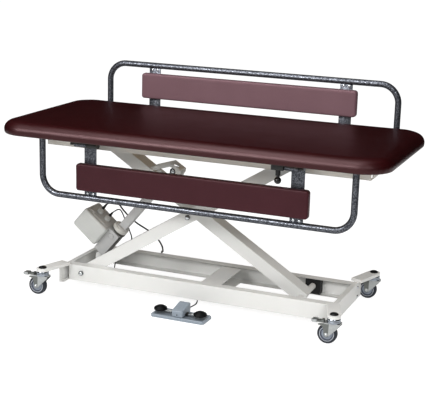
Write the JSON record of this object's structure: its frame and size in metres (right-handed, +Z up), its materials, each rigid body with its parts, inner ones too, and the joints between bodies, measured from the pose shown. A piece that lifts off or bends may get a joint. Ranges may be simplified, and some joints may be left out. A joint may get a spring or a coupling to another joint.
{
  "type": "electric changing table",
  "caption": "Height-adjustable changing table: padded top on a scissor lift with an electric actuator, flip-up padded side guards, braked casters and a foot switch.",
  "frame": {"origin": "middle of the object's box at floor level", "axes": "+X along the table to the picture's right, -Y to the front with the lowered guard, +Z up"},
  "size_m": [1.57, 0.7627, 0.882],
  "materials": {
    "base_front_channel": "satin",
    "base_back_channel": "satin",
    "base_left_end": "satin",
    "base_right_end": "satin",
    "base_cross_member": "satin",
    "actuator_mount": "satin",
    "base_front_pivot_pin": "satin",
    "base_back_pivot_pin": "satin",
    "foot_switch_plate": "satin",
    "foot_switch_cover": "satin",
    "foot_switch_cord": "matte",
    "mains_lead": "matte",
    "mains_coil": "matte",
    "mains_plug": "satin",
    "outer_arm_front": "satin",
    "outer_arm_back": "satin",
    "outer_arm_brace": "satin",
    "centre_shaft": "satin",
    "inner_arm": "satin",
    "lower_shaft": "satin",
    "actuator_lug": "satin",
    "base_slide_block_front": "satin",
    "base_slide_block_back": "satin",
    "top_slide_block_front": "satin",
    "top_slide_block_back": "satin",
    "top_front_channel": "satin",
    "top_back_channel": "satin",
    "top_left_end": "satin",
    "top_right_end": "satin",
    "upper_shaft": "satin",
    "top_board": "matte",
    "cushion": "satin",
    "front_guard_left_support": "satin",
    "front_guard_right_support": "satin",
    "back_guard_left_support": "satin",
    "back_guard_right_support": "satin",
    "front_guard_frame": "satin",
    "front_guard_pad": "satin",
    "back_guard_frame": "satin",
    "back_guard_pad": "satin",
    "front_guard_latch_plunger": "satin",
    "back_guard_latch_plunger": "satin",
    "actuator_gear_housing": "satin",
    "actuator_motor_housing": "satin",
    "actuator_outer_tube": "satin",
    "mains_gland": "satin",
    "foot_switch_gland": "satin",
    "actuator_rod": "polished",
    "foot_pedal_left": "satin",
    "foot_pedal_right": "satin",
    "caster_fork_front_left": "satin",
    "caster_wheel_front_left": "matte",
    "brake_pedal_front_left": "satin",
    "caster_fork_front_right": "satin",
    "caster_wheel_front_right": "matte",
    "brake_pedal_front_right": "satin",
    "caster_fork_back_left": "satin",
    "caster_wheel_back_left": "matte",
    "caster_fork_back_right": "satin",
    "caster_wheel_back_right": "matte"
  },
  "bodies": {
    "base": {"base_front_channel": "base_front_channel", "base_back_channel": "base_back_channel", "base_left_end": "base_left_end", "base_right_end": "base_right_end", "base_cross_member": "base_cross_member", "actuator_mount": "actuator_mount", "base_front_pivot_pin": "base_front_pivot_pin", "base_back_pivot_pin": "base_back_pivot_pin", "foot_switch_plate": "foot_switch_plate", "foot_switch_cover": "foot_switch_cover", "foot_switch_cord": "foot_switch_cord", "mains_lead": "mains_lead", "mains_coil": "mains_coil", "mains_plug": "mains_plug"},
    "outer_arms": {"outer_arm_front": "outer_arm_front", "outer_arm_back": "outer_arm_back", "outer_arm_brace": "outer_arm_brace", "centre_shaft": "centre_shaft"},
    "inner_arm": {"inner_arm": "inner_arm", "lower_shaft": "lower_shaft", "actuator_lug": "actuator_lug"},
    "base_slides": {"base_slide_block_front": "base_slide_block_front", "base_slide_block_back": "base_slide_block_back"},
    "top_slides": {"top_slide_block_front": "top_slide_block_front", "top_slide_block_back": "top_slide_block_back"},
    "top": {"top_front_channel": "top_front_channel", "top_back_channel": "top_back_channel", "top_left_end": "top_left_end", "top_right_end": "top_right_end", "upper_shaft": "upper_shaft", "top_board": "top_board", "cushion": "cushion", "front_guard_left_support": "front_guard_left_support", "front_guard_right_support": "front_guard_right_support", "back_guard_left_support": "back_guard_left_support", "back_guard_right_support": "back_guard_right_support"},
    "front_guard": {"front_guard_frame": "front_guard_frame", "front_guard_pad": "front_guard_pad"},
    "back_guard": {"back_guard_frame": "back_guard_frame", "back_guard_pad": "back_guard_pad"},
    "front_latch": {"front_guard_latch_plunger": "front_guard_latch_plunger"},
    "back_latch": {"back_guard_latch_plunger": "back_guard_latch_plunger"},
    "actuator": {"actuator_gear_housing": "actuator_gear_housing", "actuator_motor_housing": "actuator_motor_housing", "actuator_outer_tube": "actuator_outer_tube", "mains_gland": "mains_gland", "foot_switch_gland": "foot_switch_gland"},
    "actuator_rod": {"actuator_rod": "actuator_rod"},
    "left_pedal": {"foot_pedal_left": "foot_pedal_left"},
    "right_pedal": {"foot_pedal_right": "foot_pedal_right"},
    "caster_front_left": {"caster_fork_front_left": "caster_fork_front_left"},
    "wheel_front_left": {"caster_wheel_front_left": "caster_wheel_front_left"},
    "brake_front_left": {"brake_pedal_front_left": "brake_pedal_front_left"},
    "caster_front_right": {"caster_fork_front_right": "caster_fork_front_right"},
    "wheel_front_right": {"caster_wheel_front_right": "caster_wheel_front_right"},
    "brake_front_right": {"brake_pedal_front_right": "brake_pedal_front_right"},
    "caster_back_left": {"caster_fork_back_left": "caster_fork_back_left"},
    "wheel_back_left": {"caster_wheel_back_left": "caster_wheel_back_left"},
    "caster_back_right": {"caster_fork_back_right": "caster_fork_back_right"},
    "wheel_back_right": {"caster_wheel_back_right": "caster_wheel_back_right"}
  },
  "joints": [
    {"name": "lift", "type": "hinge", "parent": "base", "child": "outer_arms", "pos_m": [-0.502, -0.0146, 0.07], "axis": [0, -1, 0], "range_deg": [-11, 13]},
    {"name": "centre_pivot", "type": "hinge", "parent": "outer_arms", "child": "inner_arm", "pos_m": [-0.04964, -0.0146, 0.35377], "axis": [0, -1, 0], "range_deg": [-26.5, 22.5]},
    {"name": "top_pivot", "type": "hinge", "parent": "inner_arm", "child": "top", "pos_m": [-0.47997, -0.0146, 0.62372], "axis": [0, -1, 0], "range_deg": [-11.5, 13.5]},
    {"name": "base_slide", "type": "hinge", "parent": "inner_arm", "child": "base_slides", "pos_m": [0.40273, -0.0146, 0.07], "axis": [0, -1, 0], "range_deg": [-11.5, 13.5]},
    {"name": "top_slide", "type": "hinge", "parent": "outer_arms", "child": "top_slides", "pos_m": [0.3807, -0.0146, 0.62372], "axis": [0, -1, 0], "range_deg": [-13.5, 11.5]},
    {"name": "actuator_tilt", "type": "hinge", "parent": "base", "child": "actuator", "pos_m": [-0.495, -0.0146, 0.11], "axis": [0, -1, 0], "range_deg": [-10, 12], "deforming": ["mains_lead", "foot_switch_cord"]},
    {"name": "rod_extend", "type": "slide", "parent": "actuator", "child": "actuator_rod", "axis": [0.643, 0, 0.7659], "range_m": [-0.067, 0.079]},
    {"name": "front_guard_flip", "type": "hinge", "parent": "top", "child": "front_guard", "pos_m": [0, -0.3046, 0.63852], "axis": [-1, 0, 0], "range_deg": [0, 180]},
    {"name": "front_latch_pull", "type": "slide", "parent": "top", "child": "front_latch", "axis": [0, 0, -1], "range_m": [0, 0.006], "stiffness_N_per_m": 400, "springref_m": -0.006},
    {"name": "back_guard_flip", "type": "hinge", "parent": "top", "child": "back_guard", "pos_m": [0, 0.2754, 0.63852], "axis": [-1, 0, 0], "range_deg": [0, 180]},
    {"name": "back_latch_pull", "type": "slide", "parent": "top", "child": "back_latch", "axis": [0, 0, -1], "range_m": [0, 0.006], "stiffness_N_per_m": 400, "springref_m": -0.006},
    {"name": "swivel_front_left", "type": "hinge", "parent": "base", "child": "caster_front_left", "pos_m": [-0.6097, -0.2955, 0], "axis": [0, 0, 1], "continuous": true},
    {"name": "roll_front_left", "type": "hinge", "parent": "caster_front_left", "child": "wheel_front_left", "pos_m": [-0.6313, -0.2955, 0.0375], "axis": [0, 1, 0], "continuous": true},
    {"name": "brake_press_front_left", "type": "hinge", "parent": "caster_front_left", "child": "brake_front_left", "pos_m": [-0.638, -0.2955, 0.0805], "axis": [0, -1, 0], "range_deg": [0, 12]},
    {"name": "swivel_front_right", "type": "hinge", "parent": "base", "child": "caster_front_right", "pos_m": [0.6097, -0.2955, 0], "axis": [0, 0, 1], "continuous": true},
    {"name": "roll_front_right", "type": "hinge", "parent": "caster_front_right", "child": "wheel_front_right", "pos_m": [0.5881, -0.2955, 0.0375], "axis": [0, 1, 0], "continuous": true},
    {"name": "brake_press_front_right", "type": "hinge", "parent": "caster_front_right", "child": "brake_front_right", "pos_m": [0.5814, -0.2955, 0.0805], "axis": [0, -1, 0], "range_deg": [0, 12]},
    {"name": "swivel_back_left", "type": "hinge", "parent": "base", "child": "caster_back_left", "pos_m": [-0.6097, 0.2663, 0], "axis": [0, 0, 1], "continuous": true},
    {"name": "roll_back_left", "type": "hinge", "parent": "caster_back_left", "child": "wheel_back_left", "pos_m": [-0.6313, 0.2663, 0.0375], "axis": [0, 1, 0], "continuous": true},
    {"name": "swivel_back_right", "type": "hinge", "parent": "base", "child": "caster_back_right", "pos_m": [0.6097, 0.2663, 0], "axis": [0, 0, 1], "continuous": true},
    {"name": "roll_back_right", "type": "hinge", "parent": "caster_back_right", "child": "wheel_back_right", "pos_m": [0.5881, 0.2663, 0.0375], "axis": [0, 1, 0], "continuous": true},
    {"name": "left_pedal_press", "type": "hinge", "parent": "base", "child": "left_pedal", "pos_m": [-0.0223, -0.2986, 0.0223], "axis": [0, -1, 0], "range_deg": [0, 6], "stiffness_Nm_per_rad": 3, "springref_deg": -2.86},
    {"name": "right_pedal_press", "type": "hinge", "parent": "base", "child": "right_pedal", "pos_m": [0.0243, -0.2986, 0.0223], "axis": [0, 1, 0], "range_deg": [0, 6], "stiffness_Nm_per_rad": 3, "springref_deg": -2.86}
  ],
  "couplings": [
    {"joint": "centre_pivot", "follows": "lift", "ratio": -2},
    {"joint": "top_pivot", "follows": "lift", "ratio": 1},
    {"joint": "base_slide", "follows": "lift", "ratio": 1},
    {"joint": "top_slide", "follows": "lift", "ratio": -1},
    {"joint": "actuator_tilt", "follows": "lift", "ratio": 0.87},
    {"joint": "rod_extend", "follows": "lift", "m_per_rad": 0.34}
  ]
}
